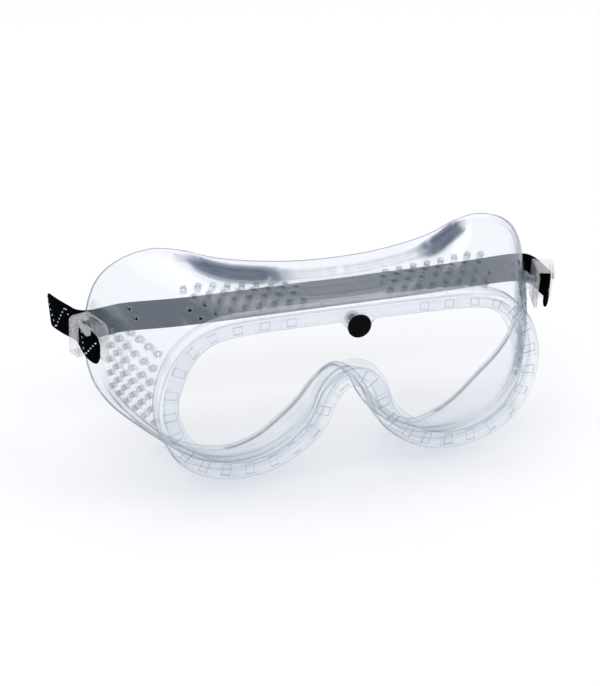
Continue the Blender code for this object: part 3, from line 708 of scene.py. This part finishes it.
def add_rim_details(joined, cut):
    """Notches and ribs on the front lip, and cross ribs and the bar on top of the rim."""
    for side in (1, -1):
        for index, u in enumerate(notch_places()):
            lip = lip_width(u)
            low, high = NOTCH_MARGINS
            rim_block(cut, u, side, NOTCH_WIDTH, (low, lip - high), (-1, NOTCH_DEPTH))
            if index % 3 != 2:
                low, high = LIP_RIB_MARGINS
                rim_block(joined, u + LIP_RIB_SHIFT, side, LIP_RIB_WIDTH, (low, lip - high), LIP_RIB_Y)
        depth = (TOP_RIB_MARGIN, RIM_DEPTH - TOP_RIB_MARGIN)
        for u in TOP_RIBS:
            rim_block(joined, u, side, TOP_RIB_WIDTH, TOP_RIB_INSET, depth)
        rim_block(joined, BAR_PLACE, side, BAR_WIDTH, BAR_INSET, (BAR_MARGIN, RIM_DEPTH - BAR_MARGIN), 4)


def frame_skin(mat):
    bm = bmesh.new()
    loft(bm, [[world(mirrored(p, side)) for p in frame_section(u)] for u, side in stations()])
    skin = object_from("frame_skin", bm, mat)
    joined = bmesh.new()
    cut = bmesh.new()
    add_vents(joined, cut)
    add_rim_details(joined, cut)
    raised_panel(joined)
    add_tabs_and_pads(joined, cut)
    slab(cut, rounded_outline(-70, 70, 20, 60, (1,) * 4), FOOT_Z - 10, FOOT_Z, ALONG_Z)
    boolean(skin, joined, "UNION")
    boolean(skin, cut, "DIFFERENCE")
    mark_painted_shade(skin)
    smooth_shaded(skin, 38)
    return skin


def raised_panel(bm):
    """The plain raised panel in the middle of the top wall."""
    low, middle, high = PANEL_Y
    rings = []
    for i in range(-PANEL_STEPS, PANEL_STEPS + 1):
        x = PANEL_HALF * i / PANEL_STEPS
        places = [wall_place(y, abs(x), 0, 0.0, TOP_POINTS) for y in (low, middle, high)]
        frames = [wall_frame(u, v) for u, v in places]
        side = 1 if x >= 0 else -1
        top = [world(mirrored(point + normal * PANEL_RAISE, side)) for point, run, normal in frames]
        foot = [world(mirrored(point - normal * PANEL_SUNK, side)) for point, run, normal in frames]
        rings.append(top + foot[::-1])
    loft(bm, rings, closed=False, caps=True)


def search_tree(spots):
    tree = KDTree(len(spots))
    for index, spot in enumerate(spots):
        tree.insert(spot[0], index)
    tree.balance()
    return tree


def crease_spots():
    """Points along the flange crease, with how broad the painted shade (a dark reflection) is there, from 0
    to 1.
    """
    spots = []
    for side, start, end, last in PAINTED_CREASE_STREAKS:
        for i in range(CREASE_STEPS + 1):
            x = last * i / CREASE_STEPS
            u = crease_place(x)
            broad = ease((x - start) / CREASE_BLEND + 0.5) * (1 - ease((x - end) / (last - end)))
            spots += [(world(mirrored(flange_point(u, t), side)), broad) for t in CREASE_SHARES]
    return spots


def edge_spots():
    """Points along the rounded edges that get painted dark outlines, with how dark they are painted."""
    spots = []
    for u, side in stations():
        section = frame_section(u)
        spots += [(world(mirrored(section[place], side)), painted_shade) for place, painted_shade in EDGE_PAINTED_SHADE]
    return spots


def vent_spots():
    """Middle and outward direction of each vent."""
    spots = []
    for u, v in vent_places():
        point, along, normal = wall_frame(u, v)
        spots += [(world(mirrored(point, side)), mirrored(normal, side)) for side in (1, -1)]
    return spots


def in_vent(away, normal):
    """Whether a point this far from the middle of a vent is on the vent's own surface."""
    along = away.dot(normal)
    radius = math.sqrt(max(away.length_squared - along ** 2, 0))
    return abs(along) < WALL + 0.5 and radius < VENT_R + 0.1


def mark_painted_shade(skin):
    """Vertex attribute of painted shade: how dark the flange crease, the vents and the rounded edges are
    painted.
    """
    creases, edges, vents = crease_spots(), edge_spots(), vent_spots()
    crease_tree, edge_tree, vent_tree = (search_tree(spots) for spots in (creases, edges, vents))
    painted_shade = skin.data.attributes.new("painted_shade", "FLOAT", "POINT")
    for vert in skin.data.vertices:
        # Painted shade along the flange crease.
        spot, index, distance = crease_tree.find(vert.co)
        broad = creases[index][1]
        narrow = 1 - broad
        darkest = CREASE_PAINTED_SHADE[0] * narrow + CREASE_PAINTED_SHADE[1] * broad
        reach = CREASE_REACH[0] * narrow + CREASE_REACH[1] * broad
        value = darkest * (1 - ease(distance / MM - reach))
        # Painted shade inside the vent holes.
        spot, index, distance = vent_tree.find(vert.co)
        if in_vent((vert.co - spot) / MM, vents[index][1]):
            value = max(value, VENT_PAINTED_SHADE)
        # Painted dark outline on the rounded edges.
        spot, index, distance = edge_tree.find(vert.co)
        if distance < EDGE_MATCH * MM:
            value = max(value, edges[index][1])
        painted_shade.data[vert.index].value = value


def crease_place(x):
    """Rail position where the wall's end has this x."""
    low, high = 0.0, 8.0
    for _ in range(20):
        u = (low + high) / 2
        if wall_point(u, 1).x > x:
            high = u
        else:
            low = u
    return u


def add_tabs_and_pads(joined, cut):
    tab = [(-TAB_TOP_HALF, 30), (-TAB_TOP_HALF, 28), (-TAB_FOOT_HALF, TAB_FOOT_Z),
           (TAB_FOOT_HALF, TAB_FOOT_Z), (TAB_TOP_HALF, 28), (TAB_TOP_HALF, 30)]
    slab(joined, tab, 0.1, LENS_FRONT - FIT_GAP - 0.1, ALONG_Y)
    slab(joined, tab, LENS_FRONT + LENS_THICK + FIT_GAP + 0.1, REAR_LIP_BACK - 0.1, ALONG_Y)
    slab(cut, circle(0, STUD_Z, STUD_SHANK_R + FIT_GAP), -1, RIM_DEPTH, ALONG_Y)
    for side in (1, -1):
        outline = []
        for i in range(7):
            y = PAD_FRONT + (PAD_BACK - PAD_FRONT) * i / 6
            place = wall_place(y, STRAP_Z, 2, TOP_POINTS, SIDE_POINTS)
            outline.append((side * (wall_point(*place).x - WALL / 2), y))
        outline += [(side * PAD_OUT, PAD_BACK - 0.7), (side * PAD_OUT, PAD_FRONT + 0.7)]
        slab(joined, outline, STRAP_Z - PAD_HALF_HEIGHT, STRAP_Z + PAD_HALF_HEIGHT, ALONG_Z)


def pegs(mat):
    """The mushroom pegs on the frame's pads, which hold the buckles."""
    low, high = PEG_HEAD_X
    foot = PAD_OUT - 0.4
    profile = [(0.0, foot), (PEG_R, foot), (PEG_R, low - 0.1), (PEG_R + 0.1, low),
               (PEG_HEAD_R - 0.15, low), (PEG_HEAD_R, low + 0.15), (PEG_HEAD_R - 0.1, low + 0.35),
               (PEG_HEAD_R - 0.6, high - 0.05), (0.0, high)]
    return [turned(name, profile, (Y, Z, X * side), (0, PIVOT_Y, STRAP_Z), mat, 32)
            for side, name in ((-1, "left_peg"), (1, "right_peg"))]


# ---------------------------------------------------------------- lens and stud

def lens_sheet(mat):
    bm = bmesh.new()
    edge = 0.25
    back = LENS_FRONT + LENS_THICK
    profile = ((edge, LENS_FRONT), (0, LENS_FRONT + edge), (0, back - edge), (edge, back))
    rings = []
    for inset, y in profile:
        rings.append([world(mirrored(rim_point(u, LENS_INSET + inset, y), side)) for u, side in stations()])
    loft(bm, rings, closed=False, caps=True)
    sheet = object_from("lens_sheet", bm, mat)
    cut = bmesh.new()
    slab(cut, circle(0, STUD_Z, STUD_SHANK_R + FIT_GAP), LENS_FRONT - 1, back + 1, ALONG_Y)
    boolean(sheet, cut, "DIFFERENCE")
    smooth_shaded(sheet, 30)
    return sheet


def stud(mat):
    back = REAR_LIP_BACK + STUD_PAST_LIP
    front = -FIT_GAP - STUD_HEAD
    dome = [(0.0, front), (1.6, front + 0.02), (3.0, front + 0.12), (3.9, front + 0.34),
            (4.45, front + 0.68), (STUD_HEAD_R - 0.05, front + 1.1), (STUD_HEAD_R, front + 1.45),
            (STUD_HEAD_R - 0.12, -FIT_GAP - 0.08), (STUD_HEAD_R - 0.4, -FIT_GAP)]
    shank = [(STUD_SHANK_R + 0.1, -FIT_GAP), (STUD_SHANK_R, -FIT_GAP + 0.1), (STUD_SHANK_R, back - 0.5),
             (STUD_SHANK_R - 0.4, back), (0.0, back)]
    return turned("stud", dome + shank, ALONG_Y, (0, 0, STUD_Z), mat, 48)


def retainer(mat):
    front = REAR_LIP_BACK + FIT_GAP
    back = front + RETAINER_DEPTH
    hole = STUD_SHANK_R + FIT_GAP
    profile = [(hole, front + 0.15), (hole + 0.15, front), (RETAINER_R - 0.25, front),
               (RETAINER_R, front + 0.25), (RETAINER_R, back - 0.3), (RETAINER_R - 0.3, back),
               (hole + 0.15, back), (hole, back - 0.15)]
    return turned("retainer", profile, ALONG_Y, (0, 0, STUD_Z), mat, 40)


# ---------------------------------------------------------------- buckles

def buckle(name, side, mat):
    """Base plate on the peg, a loop for the webbing, and a top shelf with a lip over the webbing."""
    tilt = math.radians(TILT)
    out = Vector((math.cos(tilt) * side, -math.sin(tilt), 0))
    back = Vector((math.sin(tilt) * side, math.cos(tilt), 0))
    foot = Vector((PIVOT_X * side, PIVOT_Y, STRAP_Z))
    lying, across = (back, Z, out), (out, Z, back)

    def solid(outline, span, axes):
        bm = bmesh.new()
        slab(bm, outline, *span, axes, foot)
        return bm

    heights = (-HALF_HEIGHT, HALF_HEIGHT)
    plate = rounded_outline(*PLATE_BACK, *heights, (0.8, 0.8, 0.8, 4.0))
    body = object_from(name, solid(plate, PLATE_OUT, lying), mat)
    boolean(body, solid(rounded_outline(*LOOP_OUT, *heights, (1.5,) * 4), LOOP_BACK, across), "UNION")
    hole = rounded_outline(PLATE_OUT[1], HOLE_OUTER, -HOLE_HALF_HEIGHT, HOLE_HALF_HEIGHT, (0.7,) * 4)
    boolean(body, solid(hole, (LOOP_BACK[0] - 1, LOOP_BACK[1] + 1), across), "DIFFERENCE")
    shelf = rounded_outline(*SHELF_BACK, *SHELF_UP, (0.3, 0.01, 0.01, 0.3))
    boolean(body, solid(shelf, SHELF_OUT, lying), "UNION")
    boolean(body, solid(LIP_OUTLINE, LIP_OUT, lying), "UNION")
    bore = bmesh.new()
    ends = sorted((side * (PAD_OUT - BORE_MARGIN), side * (PEG_HEAD_X[1] + BORE_MARGIN)))
    slab(bore, circle(PIVOT_Y, STRAP_Z, BORE_R), *ends, ALONG_X)
    boolean(body, bore, "DIFFERENCE")
    return bevelled(body, BUCKLE_ROUND)


# ---------------------------------------------------------------- headband

def strap_line():
    """Dense line of the webbing from the left tail to the right: middle, length so far, normal, upward."""
    points = [Vector(point) for point in STRAP_PATH]
    padded = [points[0] * 2 - points[1]] + points + [points[-1] * 2 - points[-2]]
    path = []
    for i in range(1, len(padded) - 2):
        steps = max(3, int((padded[i + 1] - padded[i]).xyz.length / 0.8))
        path += [catmull_rom(*padded[i - 1:i + 3], step / steps) for step in range(steps)]
    path.append(points[-1])
    line = []
    length = 0.0
    for i, point in enumerate(path):
        run = path[min(i + 1, len(path) - 1)].xyz - path[max(i - 1, 0)].xyz
        up = Vector((0, point.w / STRAP_WIDTH, math.sqrt(1 - (point.w / STRAP_WIDTH) ** 2)))
        if i:
            length += (point.xyz - path[i - 1].xyz).length
        line.append((point.xyz, length, up.cross(run).normalized(), up))
    return line


def webbing(mat):
    """Ribbed elastic: lengthwise ribs across both faces, rolled selvedges and rounded tail ends."""
    line = strap_line()
    total = line[-1][1]
    rings = []
    places = []
    for point, length, normal, up in line:
        into_corner = max(TAIL_CORNER - min(length, total - length), 0)
        cut = TAIL_CORNER - math.sqrt(max(TAIL_CORNER ** 2 - into_corner ** 2, 0))
        half = STRAP_WIDTH / 2 - min(cut, STRAP_WIDTH / 2 - TAIL_HALF)
        ring = []
        for face in (1, -1):
            for i in range(STRAP_RIB_STEPS + 1):
                share = (i / STRAP_RIB_STEPS * 2 - 1) * face
                selvedge = math.sqrt(max(1 - abs(share) ** SELVEDGE_POWER, 0.0))
                rib = STRAP_RIB_HEIGHT * abs(math.sin(share * STRAP_RIBS * math.pi / 2))
                thick = (STRAP_THICK / 2 - STRAP_RIB_HEIGHT + rib) * selvedge
                ring.append(world(point + up * share * half + normal * thick * face))
                places.append((length, share * half))
        rings.append(ring)
    bm = bmesh.new()
    layer = bm.loops.layers.uv.new("weave")
    made = loft(bm, rings, closed=False, caps=True)
    uv_of = dict(zip([vert for ring in made for vert in ring], places))
    for face in bm.faces:
        for loop in face.loops:
            loop[layer].uv = uv_of[loop.vert]
    bmesh.ops.remove_doubles(bm, verts=bm.verts, dist=0.000002)
    return object_from("webbing", bm, mat, 60)


def stitches(mat):
    """Light tracer thread: short floats in a zigzag from edge to edge, on the outer face."""
    line = strap_line()
    reach = STRAP_WIDTH / 2 - STITCH_MARGIN
    slope = 2 * reach / ZIGZAG
    step = STITCH_SPACING / math.hypot(1, slope)
    bm = bmesh.new()
    at = STITCH_END
    index = 0
    while at < line[-1][1] - STITCH_END:
        while line[index + 1][1] < at:
            index += 1
        here, after = line[index], line[index + 1]
        share = (at - here[1]) / (after[1] - here[1])
        point = here[0].lerp(after[0], share)
        normal = here[2].lerp(after[2], share).normalized()
        up = here[3].lerp(after[3], share).normalized()
        run = (after[0] - here[0]).normalized()
        phase = (at / ZIGZAG) % 2
        level = 1 - 2 * phase if phase < 1 else 2 * phase - 3
        rising = -1 if phase < 1 else 1
        direction = (run + up * rising * slope * 0.5).normalized()
        axes = (direction, direction.cross(normal), normal)
        place = Matrix([axis * size * MM for axis, size in zip(axes, STITCH_SIZE)]).transposed().to_4x4()
        place.translation = world(point + up * level * reach + normal * (STRAP_THICK / 2 - STITCH_SUNK))
        bmesh.ops.create_uvsphere(bm, u_segments=8, v_segments=6, radius=1.0, matrix=place)
        at += step
    return object_from("tracer_stitches", bm, mat, 0)


# ---------------------------------------------------------------- stage, light and camera

# Degrees, then distance and shifts from the design origin and the lens, in millimetres.
CAMERA_AZIMUTH, CAMERA_ELEVATION, CAMERA_ROLL = 21.38, 26.29, 2.53
CAMERA_DISTANCE, CAMERA_RIGHT, CAMERA_UP = 775.1, -21.42, 16.68
CAMERA_LENS = 104.96
# Area lights, in metres and watts: place, size, power.
AREA_LIGHTS = {
    "key": ((-0.9, -1.1, 1.7), (1.2, 1.2), 6.0),
    "fill": ((1.3, -0.7, 1.2), (1.0, 1.0), 3.0),
    "top": ((0, 0.5, 1.9), (1.6, 1.0), 4.5),
}
LIT_POINT = Vector((0, 0, 0.03))
SKY, SKY_STRENGTH = (0.97, 0.98, 1.0), 0.9
FLOOR_SIZE, FLOOR_GAP, FLOOR_COLOUR = 6.0, 0.0003, (0.93, 0.93, 0.935)
CLEAR_FACES = 48  # a ray through the goggles passes more clear faces than the usual limit of 8


def make_camera():
    turn, lift, roll = (math.radians(a) for a in (CAMERA_AZIMUTH, CAMERA_ELEVATION, CAMERA_ROLL))
    look = Vector((math.sin(turn) * math.cos(lift), math.cos(turn) * math.cos(lift), -math.sin(lift)))
    right = Vector((math.cos(turn), -math.sin(turn), 0))
    up = right.cross(look)
    right, up = (right * math.cos(roll) + up * math.sin(roll), up * math.cos(roll) - right * math.sin(roll))
    place = world(look * -CAMERA_DISTANCE + right * CAMERA_RIGHT + up * CAMERA_UP)
    data = bpy.data.cameras.new("camera")
    data.lens = CAMERA_LENS
    data.sensor_width = 36.0
    data.clip_start = 0.05
    data.clip_end = 30.0
    camera = bpy.data.objects.new("camera", data)
    camera.matrix_world = Matrix((right, up, -look)).transposed().to_4x4()
    camera.location = place
    bpy.context.scene.collection.objects.link(camera)
    bpy.context.scene.camera = camera


def area_light(name, place, size, power):
    data = bpy.data.lights.new(name, "AREA")
    data.shape = "RECTANGLE"
    data.size, data.size_y = size
    data.energy = power
    light = bpy.data.objects.new(name, data)
    light.location = place
    light.rotation_euler = (LIT_POINT - Vector(place)).to_track_quat("-Z", "Y").to_euler()
    bpy.context.scene.collection.objects.link(light)


def make_studio():
    bm = bmesh.new()
    bmesh.ops.create_grid(bm, x_segments=2, y_segments=2, size=FLOOR_SIZE)
    n = Nodes("floor_paint")
    shader = n.add("ShaderNodeBsdfPrincipled", Base_Color=(*FLOOR_COLOUR, 1), Roughness=0.9)
    floor = object_from("floor", bm, n.finish(shader.outputs[0]), 0)
    floor.location.z = -FLOOR_GAP

    world_data = bpy.data.worlds.new("studio")
    bpy.context.scene.world = world_data
    world_data.use_nodes = True
    background = world_data.node_tree.nodes["Background"]
    background.inputs["Color"].default_value = (*SKY, 1)
    background.inputs["Strength"].default_value = SKY_STRENGTH
    for name, settings in AREA_LIGHTS.items():
        area_light(name, *settings)
    bpy.context.scene.cycles.transparent_max_bounces = CLEAR_FACES
    view = bpy.context.scene.view_settings
    view.view_transform = "Standard"
    view.look = "None"


# ---------------------------------------------------------------- assembly

def main():
    # Each edge colour is the painted shade where the surface turns away.
    vinyl = clear_material("clear_vinyl", face=(0.985, 0.986, 0.988), edge=(0.22, 0.24, 0.28),
                           milk_share=0.09, milk=(0.68, 0.80, 0.96), roughness=0.06, inner_shine=0.35,
                           painted_frame_shade=True, bump=0.05)
    sheet = clear_material("clear_sheet", face=(0.982, 0.984, 0.986), edge=(0.5, 0.52, 0.55),
                           milk_share=0.01, milk=(0.9, 0.92, 0.95), roughness=0.02, inner_shine=0.1)
    hard = clear_material("clear_hard_plastic", face=(0.985, 0.987, 0.99), edge=(0.10, 0.11, 0.13),
                          milk_share=0.16, milk=(0.93, 0.95, 0.98), roughness=0.06, inner_shine=1.0)
    black = black_plastic()
    pieces = (
        (frame_skin(vinyl), "frame", ("frame_body",), "clear_pvc"),
        (lens_sheet(sheet), "frame", ("lens",), "clear_lens"),
        (stud(black), "frame", ("lens_stud",), "black_plastic"),
        (retainer(natural_plastic()), "frame", ("stud_retainer",), "natural_plastic"),
        (buckle("left_clasp", -1, hard), "left_buckle", ("left_buckle",), "clear_buckle_plastic"),
        (buckle("right_clasp", 1, hard), "right_buckle", ("right_buckle",), "clear_buckle_plastic"),
        (webbing(webbing_material()), "headband", ("headband",), "black_webbing"),
        (stitches(tracer_material()), "headband", (), "black_webbing"),
    )
    for piece, body, nodes, slot in pieces:
        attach(piece, body)
        if nodes:
            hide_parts(*nodes)
    for peg in pegs(vinyl):
        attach(peg, "frame")
    make_studio()
    make_camera()


main()
